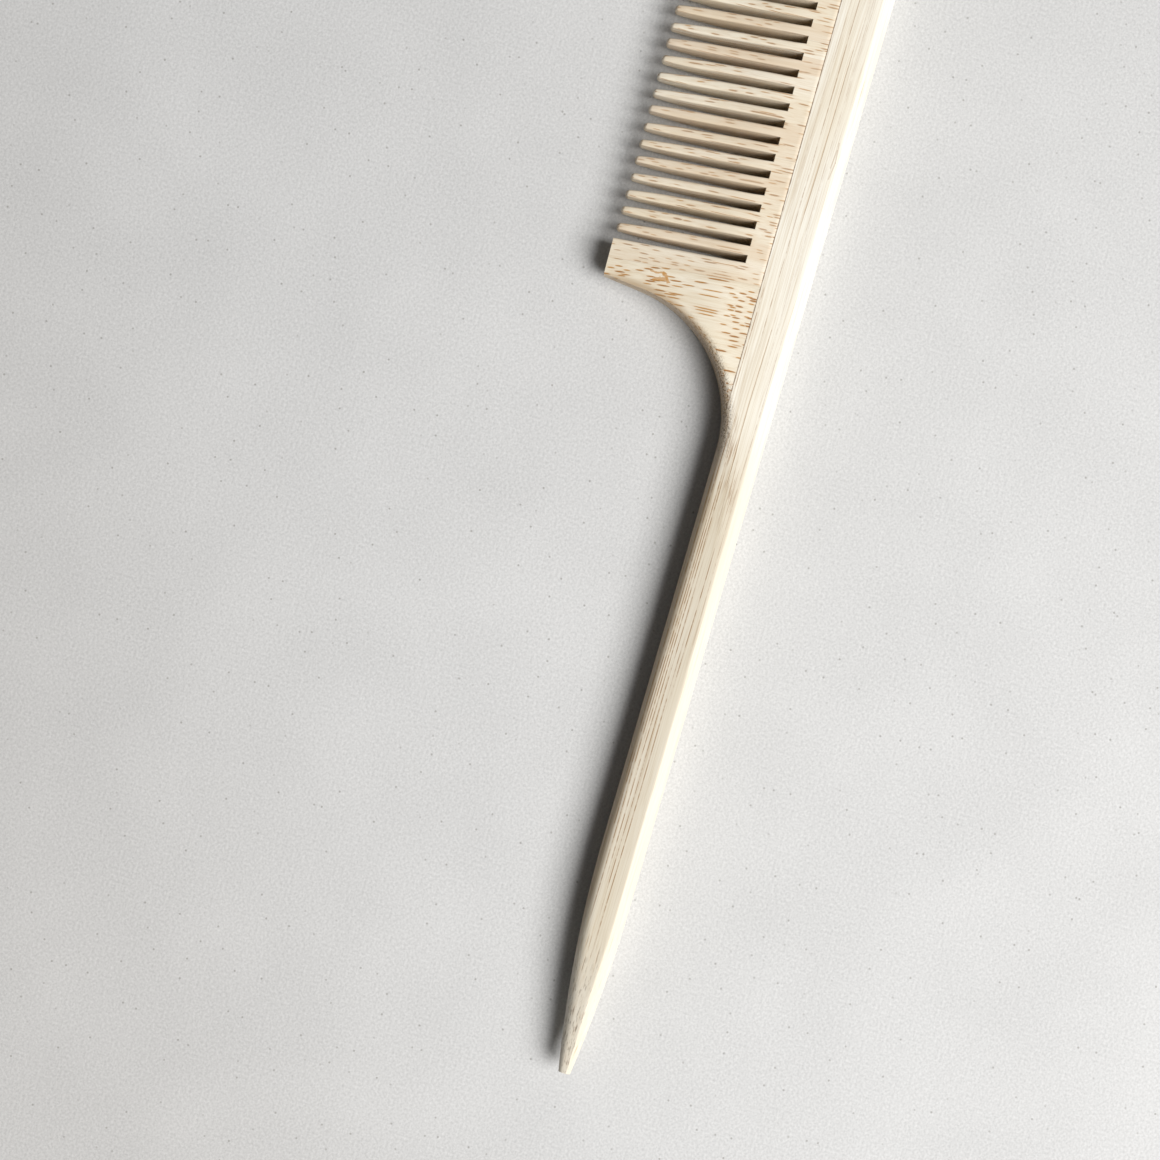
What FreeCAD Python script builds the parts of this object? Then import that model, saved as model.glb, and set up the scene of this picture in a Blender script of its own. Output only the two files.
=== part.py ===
import FreeCAD, Part
import math
import os

# A rat tail comb in bamboo, lying flat on one face. Lengths are in millimetres, angles in degrees.
#
# The comb is shaped from a glued blank, as the real one is: one long stick, which is both the
# comb's spine and its tail, and a row of slats edge-glued along its side with their fibres
# pointing away from it. The teeth are sawn out of the slats. The blank is made first, and then
# it is divided along its glue lines, so that the pieces meet face to face.
#
# While it is shaped, X runs from the tip of the tail to the far end of the head, Y from the
# straight back edge to the tooth tips, and Z up from the face that the comb lies on. At the end
# every piece is moved so that the origin is below the middle of the comb's box.

# Overall sizes
LENGTH = 240.0
THICKNESS = 7.2

# Tail: a shaped stick that narrows to a blunt tip, more on its tooth side than on its back. Its
# faces slope down to its tooth side, and the slope runs out into the head's flat faces.
TAIL_WIDTH_THIN = 7.13
TAIL_WIDTH_NECK = 7.22
TIP_TOOTH_SIDE_TAPER, TIP_TOOTH_SIDE_DROP = 38.0, 3.53
TIP_BACK_TAPER, TIP_BACK_DROP = 28.0, 1.66
TIP_FACE_TAPER, TIP_FACE_DROP = 30.0, 2.55
TIP_STATIONS = (0.0, 4.0, 9.0, 15.0, 22.0, 30.0, 38.0)
TAIL_FACE_SLOPE = 9.0
SLOPE_RUN_OUT_X = 86.0
BACK_FACET = 1.75
TAIL_ROUNDING = 1.5
SECTION_CORNER_SHARE = 0.34

# Neck: an arc from the tail's edge, which runs out into the first guard's straight side
NECK_X = 103.6
NECK_RADIUS = 21.4
GUARD_SIDE_LEAN = 6.0

# Head: the tooth tips, the slot roots and the glue line fan out a little towards the far end
REFERENCE_X = 133.4
TIP_LINE_Y, TIP_LINE_SLOPE = 32.84, 1.22
ROOT_LINE_Y, ROOT_LINE_SLOPE = 11.3, 0.74
GLUE_LINE_Y, GLUE_LINE_SLOPE = 7.92, 0.56
FAR_BACK_CORNER = 7.5
FAR_TOOTH_CORNER = 2.5

# The toothed part is ground to a wedge from both faces
WEDGE_START_PAST_ROOTS = 0.6
WEDGE_BLEND_RADIUS = 40.0
WEDGE_ANGLE = 6.6

# Slots and teeth, which lean towards the tail
SLANT = 4.35
SLOT_COUNT = 36
SLOT_PITCH = 2.80
FIRST_SLOT_X = 133.88
SLOT_WIDTH = 1.28
TOOTH_TAPER_LENGTH = 7.5
TOOTH_TAPER_DEPTH = 0.27

# Slats: the first starts where the neck's arc has left the stick's side, and the glue lines
# between them fall in the first guard and in every seventh slot
FIRST_SLAT_START_X = 109.0
GUARD_GLUE_LINE_X = 130.0
FIRST_GLUED_SLOT = 6
SLOTS_PER_SLAT = 7
TONGUE_DEPTH = 1.6
TONGUE_THICKNESS = 2.4
TONGUE_START_X = 113.0
TONGUE_END_X = 232.0

# Clearance that carries a cutting shape past the surface it cuts
PAST = 5.0


def point(x, y, z=0.0):
    return FreeCAD.Vector(x, y, z)


def rise(slope):
    return math.tan(math.radians(slope))


def tip_line(x):
    return TIP_LINE_Y + rise(TIP_LINE_SLOPE) * (x - REFERENCE_X)


def root_line(x):
    return ROOT_LINE_Y + rise(ROOT_LINE_SLOPE) * (x - REFERENCE_X)


def glue_line(x):
    return GLUE_LINE_Y + rise(GLUE_LINE_SLOPE) * (x - REFERENCE_X)


def line(start, end):
    return Part.LineSegment(start, end).toShape()


def arc(start, middle, end):
    return Part.Arc(start, middle, end).toShape()


def prism(corners, low_z=-PAST, high_z=THICKNESS + PAST):
    """An upright prism on a polygon given as (x, y) corners."""
    ring = [point(x, y, low_z) for x, y in corners]
    face = Part.Face(Part.makePolygon(ring + ring[:1]))
    return face.extrude(point(0, 0, high_z - low_z))


def arc_drop(distance, length, drop):
    """How far an arc has fallen this far from its level end, if it falls by drop over length."""
    radius = (length**2 + drop**2) / (2 * drop)
    reach = min(max(distance, 0.0), length)
    return radius - math.sqrt(radius**2 - reach**2)


def rounded_corner(corner, towards_first, towards_second, radius):
    """The start, middle and end of the arc that rounds a corner between two unit directions."""
    half_angle = towards_first.getAngle(towards_second) / 2
    tangent = radius / math.tan(half_angle)
    bisector = (towards_first + towards_second).normalize()
    middle = corner + bisector * (radius / math.sin(half_angle) - radius)
    return corner + towards_first * tangent, middle, corner + towards_second * tangent


def tail_section(x, face_slope):
    """The tail's section at x: a bevelled back, two faces that slope, and a rounded tooth side."""
    back_y = arc_drop(TIP_BACK_TAPER - x, TIP_BACK_TAPER, TIP_BACK_DROP)
    swell = max(x - TIP_TOOTH_SIDE_TAPER, 0.0) / (NECK_X - TIP_TOOTH_SIDE_TAPER)
    full_y = TAIL_WIDTH_THIN + swell * (TAIL_WIDTH_NECK - TAIL_WIDTH_THIN)
    tooth_y = full_y - arc_drop(TIP_TOOTH_SIDE_TAPER - x, TIP_TOOTH_SIDE_TAPER, TIP_TOOTH_SIDE_DROP)
    low_z = arc_drop(TIP_FACE_TAPER - x, TIP_FACE_TAPER, TIP_FACE_DROP)
    high_z = THICKNESS - low_z
    largest = SECTION_CORNER_SHARE * min(tooth_y - back_y, high_z - low_z)
    facet = min(BACK_FACET, largest)
    radius = min(TAIL_ROUNDING, largest)
    drop = rise(face_slope) * (tooth_y - back_y - facet)
    slope = math.radians(face_slope)

    low_tooth = point(x, tooth_y, low_z + drop)
    high_tooth = point(x, tooth_y, high_z - drop)
    up, down = point(0, 0, 1), point(0, 0, -1)
    low_back = point(0, -math.cos(slope), -math.sin(slope))
    high_back = point(0, -math.cos(slope), math.sin(slope))
    low_arc = rounded_corner(low_tooth, low_back, up, radius)
    high_arc = rounded_corner(high_tooth, down, high_back, radius)
    low_side, low_face = point(x, back_y, low_z + facet), point(x, back_y + facet, low_z)
    high_face, high_side = point(x, back_y + facet, high_z), point(x, back_y, high_z - facet)
    return Part.Wire(
        [
            line(low_side, low_face),
            line(low_face, low_arc[0]),
            arc(*low_arc),
            line(low_arc[2], high_arc[0]),
            arc(*high_arc),
            line(high_arc[2], high_face),
            line(high_face, high_side),
            line(high_side, low_side),
        ]
    )


def make_tail():
    tip = Part.makeLoft([tail_section(x, TAIL_FACE_SLOPE) for x in TIP_STATIONS], True, False)
    shaft_start = tail_section(TIP_STATIONS[-1], TAIL_FACE_SLOPE)
    shaft_end = tail_section(SLOPE_RUN_OUT_X, TAIL_FACE_SLOPE)
    shaft = Part.makeLoft([shaft_start, shaft_end], True, True)
    run_out = Part.makeLoft([shaft_end, tail_section(NECK_X, 0.0)], True, True)
    return tip.fuse([shaft, run_out])


def head_outline():
    """The head seen from above, from the neck to the far end, as a closed wire."""
    neck_centre_y = TAIL_WIDTH_NECK + NECK_RADIUS
    lean = math.radians(GUARD_SIDE_LEAN)
    neck_end = point(
        NECK_X + NECK_RADIUS * math.cos(lean), neck_centre_y - NECK_RADIUS * math.sin(lean)
    )
    guard_y = tip_line(neck_end.x)
    guard_x = neck_end.x + rise(GUARD_SIDE_LEAN) * (guard_y - neck_end.y)
    neck_middle_x = NECK_X + NECK_RADIUS * math.sqrt(0.5)
    neck_middle_y = neck_centre_y - NECK_RADIUS * math.sqrt(0.5)
    corner_middle = FAR_BACK_CORNER * (1 - math.sqrt(0.5))

    neck_back = point(NECK_X, 0)
    far_back_start = point(LENGTH - FAR_BACK_CORNER, 0)
    far_back_middle = point(LENGTH - corner_middle, corner_middle)
    far_back_end = point(LENGTH, FAR_BACK_CORNER)
    far_tooth = point(LENGTH, tip_line(LENGTH))
    guard_corner = point(guard_x, guard_y)
    neck_middle = point(neck_middle_x, neck_middle_y)
    neck_tooth_side = point(NECK_X, TAIL_WIDTH_NECK)
    return Part.Wire(
        [
            line(neck_back, far_back_start),
            arc(far_back_start, far_back_middle, far_back_end),
            line(far_back_end, far_tooth),
            line(far_tooth, guard_corner),
            line(guard_corner, neck_end),
            arc(neck_end, neck_middle, neck_tooth_side),
            line(neck_tooth_side, neck_back),
        ]
    )


def lies_on_a_face(edge):
    low, high = edge.BoundBox.ZMin, edge.BoundBox.ZMax
    return high - low < 0.01 and (low < 0.01 or high > THICKNESS - 0.01)


def make_head():
    head = Part.Face(head_outline()).extrude(point(0, 0, THICKNESS))

    back_edges = []
    for edge in head.Edges:
        middle = edge.valueAt((edge.FirstParameter + edge.LastParameter) / 2)
        on_back = middle.y < 1.0 or middle.x > LENGTH - FAR_BACK_CORNER / 2
        if lies_on_a_face(edge) and on_back and edge.BoundBox.DiagonalLength > 1.0:
            back_edges.append(edge)
    head = head.makeChamfer(BACK_FACET, back_edges)

    neck_edges = [
        edge
        for edge in head.Edges
        if isinstance(edge.Curve, Part.Circle)
        and lies_on_a_face(edge)
        and abs(edge.Curve.Radius - NECK_RADIUS) < 0.01
    ]
    return head.makeFillet(TAIL_ROUNDING, neck_edges)


def wedge_profile():
    """What the grinding leaves of the head, seen along its length: a slab and then a wedge."""
    start_y = root_line(0.0) + WEDGE_START_PAST_ROOTS
    half = math.radians(WEDGE_ANGLE) / 2
    blend_y = WEDGE_BLEND_RADIUS * math.sin(2 * half)
    blend_z = WEDGE_BLEND_RADIUS * (1 - math.cos(2 * half))
    half_blend_y = WEDGE_BLEND_RADIUS * math.sin(half)
    half_blend_z = WEDGE_BLEND_RADIUS * (1 - math.cos(half))
    end_y = tip_line(LENGTH) + PAST
    end_z = blend_z + (end_y - start_y - blend_y) * math.tan(2 * half)

    def pair(y, z):
        return point(0, y, z), point(0, y, THICKNESS - z)

    low_back, high_back = pair(-PAST, 0)
    low_start, high_start = pair(start_y, 0)
    low_middle, high_middle = pair(start_y + half_blend_y, half_blend_z)
    low_blend, high_blend = pair(start_y + blend_y, blend_z)
    low_end, high_end = pair(end_y, end_z)
    return Part.Wire(
        [
            line(low_back, low_start),
            arc(low_start, low_middle, low_blend),
            line(low_blend, low_end),
            line(low_end, high_end),
            line(high_end, high_blend),
            arc(high_blend, high_middle, high_start),
            line(high_start, high_back),
            line(high_back, low_back),
        ]
    )


def make_blank():
    run = LENGTH + PAST
    wedge = Part.Face(wedge_profile()).extrude(point(run, run * rise(ROOT_LINE_SLOPE), 0))
    head = make_head().common(wedge)
    far_corner = [
        edge
        for edge in head.Edges
        if edge.BoundBox.XMin > LENGTH - 0.1
        and edge.BoundBox.YMin > tip_line(LENGTH) - 0.1
        and edge.BoundBox.ZLength > 1.0
    ]
    return make_tail().fuse(head.makeFillet(FAR_TOOTH_CORNER, far_corner)).removeSplitter()


def slot_cutter(number):
    """A saw slot with a square root, whose mouth widens as the teeth beside it taper."""
    root = point(FIRST_SLOT_X + number * SLOT_PITCH, 0)
    root.y = root_line(root.x)
    lean = math.radians(SLANT)
    along = point(-math.sin(lean), math.cos(lean))
    across = point(math.cos(lean), math.sin(lean))
    tip = (tip_line(root.x) - root.y) / math.cos(lean)
    taper = tip - TOOTH_TAPER_LENGTH
    half = SLOT_WIDTH / 2

    def at(distance, side, widening=0.0):
        return root + along * distance + across * (side * (half + widening))

    middle_widening = arc_drop(TOOTH_TAPER_LENGTH / 2, TOOTH_TAPER_LENGTH, TOOTH_TAPER_DEPTH)
    edges = [line(at(0, -1), at(0, 1))]
    for side in (1, -1):
        edges.append(line(at(0, side), at(taper, side)))
        middle = at(taper + TOOTH_TAPER_LENGTH / 2, side, middle_widening)
        mouth = at(tip, side, TOOTH_TAPER_DEPTH)
        edges.append(arc(at(taper, side), middle, mouth))
        edges.append(line(mouth, at(tip + PAST, side, TOOTH_TAPER_DEPTH)))
    edges.append(line(at(tip + PAST, 1, TOOTH_TAPER_DEPTH), at(tip + PAST, -1, TOOTH_TAPER_DEPTH)))
    face = Part.Face(Part.Wire(Part.__sortEdges__(edges)))
    face.translate(point(0, 0, -PAST))
    return face.extrude(point(0, 0, THICKNESS + 2 * PAST))


def plate_region():
    """All that lies on the slats' side of the long glue line, with the tongue that enters the spine."""
    start_x, end_x, high_y = FIRST_SLAT_START_X, LENGTH + PAST, tip_line(LENGTH) + PAST
    beyond_glue_line = prism(
        [(start_x, glue_line(start_x)), (end_x, glue_line(end_x)), (end_x, high_y), (start_x, high_y)]
    )
    tongue_ends = [
        (TONGUE_START_X, glue_line(TONGUE_START_X)),
        (TONGUE_END_X, glue_line(TONGUE_END_X)),
    ]
    tongue_low = (THICKNESS - TONGUE_THICKNESS) / 2
    tongue_sides = [(x, y - TONGUE_DEPTH) for x, y in tongue_ends]
    tongue_roots = [(x, y + 1.0) for x, y in reversed(tongue_ends)]
    tongue = prism(tongue_sides + tongue_roots, tongue_low, tongue_low + TONGUE_THICKNESS)
    return beyond_glue_line.fuse(tongue)


def slat_region(first_x, last_x):
    """What lies between two slanted glue lines, each given by its X at the slot roots."""
    corners = []
    for x, y in ((first_x, -PAST), (last_x, -PAST), (last_x, LENGTH), (first_x, LENGTH)):
        corners.append((x - rise(SLANT) * (y - root_line(x)), y))
    return prism(corners)


def slat_names_and_limits():
    slots = range(FIRST_GLUED_SLOT, SLOT_COUNT, SLOTS_PER_SLAT)
    glue_lines = [GUARD_GLUE_LINE_X] + [FIRST_SLOT_X + n * SLOT_PITCH for n in slots]
    limits = [NECK_X - PAST] + glue_lines + [LENGTH + NECK_RADIUS]
    toothed = [f"tooth_slat_{n}" for n in range(1, len(glue_lines))]
    names = ["neck_guard_slat"] + toothed + ["end_guard_slat"]
    return list(zip(names, limits[:-1], limits[1:], strict=True))


def make_pieces():
    blank = make_blank()
    plate = plate_region()
    pieces = {"spine_and_tail": blank.cut(plate)}
    slotted = blank.common(plate).cut([slot_cutter(n) for n in range(SLOT_COUNT)])
    for name, first_x, last_x in slat_names_and_limits():
        pieces[name] = slotted.common(slat_region(first_x, last_x))
    return pieces


def main():
    os.makedirs("parts", exist_ok=True)
    to_row_frame = point(-LENGTH / 2, -tip_line(LENGTH) / 2, 0)
    for name, shape in make_pieces().items():
        shape.translate(to_row_frame)
        box = shape.BoundBox
        print(name, "solids", len(shape.Solids), "valid", shape.isValid(), "volume", round(shape.Volume, 1))
        print("   x", round(box.XMin, 2), round(box.XMax, 2), "y", round(box.YMin, 2), round(box.YMax, 2))
        if len(shape.Solids) != 1:
            raise ValueError(f"{name} is not one solid")
        shape.Solids[0].exportStep(f"parts/{name}.step")


main()
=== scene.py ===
import math
import random

import bmesh
import bpy
from mathutils import Matrix, Vector


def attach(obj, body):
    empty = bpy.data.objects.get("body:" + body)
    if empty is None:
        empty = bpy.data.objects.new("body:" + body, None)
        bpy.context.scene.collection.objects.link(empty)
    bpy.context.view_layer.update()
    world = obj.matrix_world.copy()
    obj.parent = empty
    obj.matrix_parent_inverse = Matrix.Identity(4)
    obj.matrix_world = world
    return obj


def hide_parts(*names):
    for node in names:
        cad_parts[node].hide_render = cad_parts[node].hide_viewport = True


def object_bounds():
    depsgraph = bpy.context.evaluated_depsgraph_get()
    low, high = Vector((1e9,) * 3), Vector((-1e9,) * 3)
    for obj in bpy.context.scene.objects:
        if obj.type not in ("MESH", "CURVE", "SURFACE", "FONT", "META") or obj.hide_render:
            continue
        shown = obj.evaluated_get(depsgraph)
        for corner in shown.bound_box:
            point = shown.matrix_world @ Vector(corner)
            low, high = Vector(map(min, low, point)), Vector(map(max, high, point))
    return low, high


# A bamboo rat tail comb on a pale surface. The shapes below are worked out in millimetres, in
# the frame in which the comb is shaped: x from the tip of the tail to the far end of the head,
# y from the straight back edge to the tooth tips, and z up from the middle of its thickness.
# to_row() takes a point from there to the row frame, in metres. Angles are in degrees.

MM = 0.001
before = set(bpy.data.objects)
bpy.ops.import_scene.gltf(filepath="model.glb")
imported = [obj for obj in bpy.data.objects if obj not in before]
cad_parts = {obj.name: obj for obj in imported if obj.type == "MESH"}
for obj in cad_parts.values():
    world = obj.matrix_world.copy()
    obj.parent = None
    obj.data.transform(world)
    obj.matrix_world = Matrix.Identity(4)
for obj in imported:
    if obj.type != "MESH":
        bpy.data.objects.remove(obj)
cad_low, cad_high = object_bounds()

LENGTH = (cad_high.x - cad_low.x) / MM
THICKNESS = round((cad_high.z - cad_low.z) / MM, 1)
HALF = THICKNESS / 2

# Tail
TAIL_WIDTH_THIN, TAIL_WIDTH_NECK = 7.13, 7.22
TIP_TOOTH_SIDE_TAPER, TIP_TOOTH_SIDE_DROP = 38.0, 3.53
TIP_BACK_TAPER, TIP_BACK_DROP = 28.0, 1.66
TIP_FACE_TAPER, TIP_FACE_DROP = 30.0, 2.55
TAIL_FACE_SLOPE = 9.0
BACK_FACET = 1.75
FACET_SOFTNESS = 0.12
TAIL_ROUNDING = 1.5

# The most of a section's width or thickness that its bevel or its rounding may take, on the tail
# and on the stick's part of the head
TAIL_CORNER_SHARE = 0.34
HEAD_FACET_SHARE, HEAD_ROUNDING_SHARE = 0.6, 0.2

# The tail's sloping faces meet the flat ones along a line that curves over to the tooth side, and
# beside the neck they fade out along a second line. The rise is y for each x, the run x for each y.
RUN_OUT_X, RUN_OUT_Y, RUN_OUT_RISE, RUN_OUT_CURVE = 94.2, 3.17, 0.06, 0.012
RUN_OUT_SOFTNESS, RUN_OUT_REACH = 0.5, 2.0
NECK_FADE_X, NECK_FADE_Y, NECK_FADE_RUN, NECK_FADE_LENGTH = 106.0, 6.16, 3.3, 9.0

# Neck and head
NECK_X, NECK_RADIUS = 103.6, 21.4
NECK_CENTRE_Y = TAIL_WIDTH_NECK + NECK_RADIUS
GUARD_SIDE_LEAN = 6.0
REFERENCE_X = 133.4
TIP_LINE_Y, TIP_LINE_SLOPE = 32.84, 1.22
BREADTH = TIP_LINE_Y + math.tan(math.radians(TIP_LINE_SLOPE)) * (LENGTH - REFERENCE_X)
ROOT_LINE_Y, ROOT_LINE_SLOPE = 11.3, 0.74
GLUE_LINE_Y, GLUE_LINE_SLOPE = 7.92, 0.56
FAR_BACK_CORNER = 7.5
FAR_TOOTH_CORNER = 2.5
WEDGE_START_PAST_ROOTS = 0.6
WEDGE_BLEND_RADIUS = 40.0
WEDGE_ANGLE = 6.6

# Slots and teeth
SLANT = 4.35
SLOT_COUNT = 36
SLOT_PITCH = 2.80
FIRST_SLOT_X = 133.88
SLOT_WIDTH = 1.28
TOOTH_TAPER_LENGTH, TOOTH_TAPER_DEPTH = 7.5, 0.27
TOOTH_EDGE_ROUNDING, TOOTH_EDGE_RUN_IN, TOOTH_EDGE_ROOT_SHARE = 0.34, 3.0, 0.25
TOOTH_TIP_LENGTH = 0.55
NOSE_WIDTH_LOSS, NOSE_THICKNESS_SHARE = 0.94, 0.35

# Slats
FIRST_SLAT_START_X = 109.0
GUARD_GLUE_LINE_X = 130.0
FIRST_GLUED_SLOT = 6
SLOTS_PER_SLAT = 7
TONGUE_DEPTH, TONGUE_HALF_THICKNESS = 1.6, 1.2
TONGUE_START_X, TONGUE_END_X = 113.0, 232.0
GLUE_GROOVE_DEPTH, GLUE_GROOVE_REACH = 0.05, 0.09
SEAM_SHARE = 0.2

# How unevenly the teeth were sawn and sanded. The width's spread is a share of it, and the others
# are in millimetres. The powers and run-ins say how that sets in from the root to the tip.
TOOTH_LEAN_SPREAD, TOOTH_LEAN_POWER = 0.06, 1.5
TOOTH_WIDTH_SPREAD, TOOTH_WIDTH_RUN_IN = 0.03, 2.0
TOOTH_LENGTH_SPREAD, TOOTH_LENGTH_POWER = 0.07, 4
TOOTH_THICKNESS_SPREAD = 0.03
TOOTH_WAVE_SPREAD, TOOTH_WAVE_RADIANS = 0.015, 5
TOOTH_SWAY_RUN_IN = 3.0
DICE_SEED = 7

# Surface, light and camera: lengths in metres, the lamp's power in watts. The view's centre is a
# place on the comb's upper face, in millimetres.
FLOOR_HALF_SIZE = 1.5
FLOOR_GAP = 0.00002
VIEW_TURN = 16.3
VIEW_CENTRE_X, VIEW_CENTRE_Y = 77.1, 22.5
VIEW_WIDTH = 0.1856
CAMERA_HEIGHT = 0.335
CLIP_START, CLIP_END = 0.01, 10
WINDOW_DISTANCE = 1.1
WINDOW_HEIGHT_ANGLE = 49
WINDOW_TURN = -32
WINDOW_SIZE = (0.85, 0.72)
WINDOW_POWER = 20.0
WINDOW_COLOUR = (1.0, 0.99, 0.982)
ROOM_COLOUR = (0.95, 0.97, 1.0)
ROOM_STRENGTH = 0.07

# Mesh density. Shares and offsets lie closer together where a section bends more, and a crowding
# is the power that draws even steps together at one end.
ROUND_STEPS, FLAT_STEPS = 8, 14
FACET_SHARES = (0, 0.015, 0.05, 0.1, 0.17, 0.35, 0.6, 0.82, 0.92, 1.0, 1.08, 1.2)
TIP_SECTIONS, TIP_CROWDING = 44, 1.3
SHAFT_SECTIONS, NECK_SECTIONS, UNGROOVED_SECTIONS = 36, 8, 10
GROOVED_SECTIONS, FAR_SECTIONS, CORNER_SECTIONS = 70, 4, 28
BAND_SHARES = (0.2, 0.45, 0.7, 0.88, 1)
BAND_ROWS = len(BAND_SHARES) + 1
ROOT_ROW_OFFSETS = (0.12, 0.35, 0.7, 1.2, 1.8)
TOOTH_ROWS, NOSE_ROWS = 16, 5
TOOTH_COLUMN_SHARES = (-1, -0.975, -0.91, -0.8, -0.65, -0.4, 0, 0.4, 0.65, 0.8, 0.91, 0.975, 1)
EDGE_COLUMN_OFFSETS, INNER_COLUMNS_START = (0, 0.02, 0.07, 0.16, 0.3), 0.5
GUARD_COLUMNS = 6
NECK_STEPS, NECK_STEP_CROWDING = 60, 1.25
NECK_ROWS, NECK_ROW_CROWDING = 24, 2.2
SHARP_ANGLE = 40

# The length of comb over which a section changes at once, and how near to a slot's place counts
# as in it
ABRUPT_LENGTH = 0.002
SLOT_TOLERANCE = 0.1

# How high up a side wall its row of points lies, as a share of the half thickness: on the stick,
# on a slat, and where the stick has no groove as a share of its height where it has one
STICK_WALL_SHARE, SLAT_WALL_SHARE, UNGROOVED_WALL_SHARE = 0.7, 0.6, 0.5


def to_row(x, y, z):
    return Vector(((x - LENGTH / 2) * MM, (y - BREADTH / 2) * MM, (z + HALF) * MM))


def rise(slope):
    return math.tan(math.radians(slope))


def tip_line(x):
    return TIP_LINE_Y + rise(TIP_LINE_SLOPE) * (x - REFERENCE_X)


def root_line(x):
    return ROOT_LINE_Y + rise(ROOT_LINE_SLOPE) * (x - REFERENCE_X)


def glue_line(x):
    return GLUE_LINE_Y + rise(GLUE_LINE_SLOPE) * (x - REFERENCE_X)


def arc_drop(distance, length, drop):
    """How far an arc has fallen this far from its level end, if it falls by drop over length."""
    radius = (length**2 + drop**2) / (2 * drop)
    reach = min(max(distance, 0.0), length)
    return radius - math.sqrt(radius**2 - reach**2)


def rounding(distance, radius):
    """How far a rounded edge lies below its face, at a distance in from the edge."""
    inward = min(max(distance, 0.0), radius)
    return radius - math.sqrt(max(radius**2 - (radius - inward) ** 2, 0.0))


def facet_drop(distance, facet):
    """How far the bevel along the back lies below its face, at a distance in from the back."""
    short = facet - distance
    soft = FACET_SOFTNESS * facet / BACK_FACET
    bevel = (short + math.sqrt(short**2 + soft**2)) / 2
    return bevel + rounding(distance, 2 * soft)


def slope_drop(x, y, facet_y):
    """How far the tail's sloping face lies below the flat face, with its run-out into the head."""
    past_x = x - RUN_OUT_X
    meeting_y = RUN_OUT_Y + RUN_OUT_RISE * past_x + RUN_OUT_CURVE * max(past_x, 0.0) ** 2
    start_y = max(facet_y, meeting_y)
    short = y - start_y
    bent = short > -RUN_OUT_REACH
    past = (short + math.sqrt(short**2 + RUN_OUT_SOFTNESS**2)) / 2 if bent else 0.0
    fade_x = NECK_FADE_X - NECK_FADE_RUN * (y - NECK_FADE_Y)
    return rise(TAIL_FACE_SLOPE) * past * (1 - smooth_step((x - fade_x) / NECK_FADE_LENGTH))


def smooth_step(value):
    value = min(max(value, 0.0), 1.0)
    return value * value * (3 - 2 * value)


def slot_x(number):
    return FIRST_SLOT_X + number * SLOT_PITCH


# ---- The ground surface of the head ----


def wedge_drop(x, y):
    """How far the ground faces of the toothed part lie below the head's flat faces."""
    past = y - root_line(x) - WEDGE_START_PAST_ROOTS
    angle = math.radians(WEDGE_ANGLE)
    blend = WEDGE_BLEND_RADIUS * math.sin(angle)
    if past <= 0:
        return 0.0
    if past < blend:
        return WEDGE_BLEND_RADIUS - math.sqrt(WEDGE_BLEND_RADIUS**2 - past**2)
    return WEDGE_BLEND_RADIUS * (1 - math.cos(angle)) + (past - blend) * math.tan(angle)


def neck_distance(x, y):
    """How far a point is inside the tail's tooth-side edge, the neck's arc or the guard's side."""
    lean = math.radians(GUARD_SIDE_LEAN)
    out_x, out_y = x - NECK_X, NECK_CENTRE_Y - y
    if out_x <= 0:
        return TAIL_WIDTH_NECK - y
    if out_y < out_x * math.tan(lean):
        return out_x * math.cos(lean) + out_y * math.sin(lean) - NECK_RADIUS
    return math.hypot(out_x, out_y) - NECK_RADIUS


def far_back_distance(x, y):
    """How far a point lies inside the back edge, the far back corner or the far end."""
    corner_x, corner_y = LENGTH - FAR_BACK_CORNER, FAR_BACK_CORNER
    if x > corner_x and y < corner_y:
        return FAR_BACK_CORNER - math.hypot(x - corner_x, y - corner_y)
    return min(y, LENGTH - x)


def head_half_thickness(x, y):
    half = HALF - facet_drop(far_back_distance(x, y), BACK_FACET)
    if x < slot_x(0):
        half -= slope_drop(x, y, BACK_FACET) + rounding(neck_distance(x, y), TAIL_ROUNDING)
    return min(half, HALF - wedge_drop(x, y))


# ---- Meshes ----


def new_object(name, bm):
    bmesh.ops.recalc_face_normals(bm, faces=bm.faces)
    mesh = bpy.data.meshes.new(name)
    bm.to_mesh(mesh)
    bm.free()
    for polygon in mesh.polygons:
        polygon.use_smooth = True
    mesh.set_sharp_from_angle(angle=math.radians(SHARP_ANGLE))
    piece = bpy.data.objects.new(name, mesh)
    bpy.context.scene.collection.objects.link(piece)
    return piece


def spaced(start, end, count):
    return [start + (end - start) * n / count for n in range(count + 1)]


def quarter_turn(steps):
    """The angles of a quarter turn in even steps, with both its ends."""
    return [math.pi / 2 * n / steps for n in range(steps + 1)]


def across_section(back_y, tooth_y, facet, radius):
    """Places across a section, close together at its bevelled back and its rounded tooth side."""
    places = [back_y + facet * share for share in FACET_SHARES]
    places += spaced(places[-1], tooth_y - radius, FLAT_STEPS)[1:-1]
    angles = reversed(quarter_turn(ROUND_STEPS))
    places += [tooth_y - radius * (1 - math.cos(angle)) for angle in angles]
    return places


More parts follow.
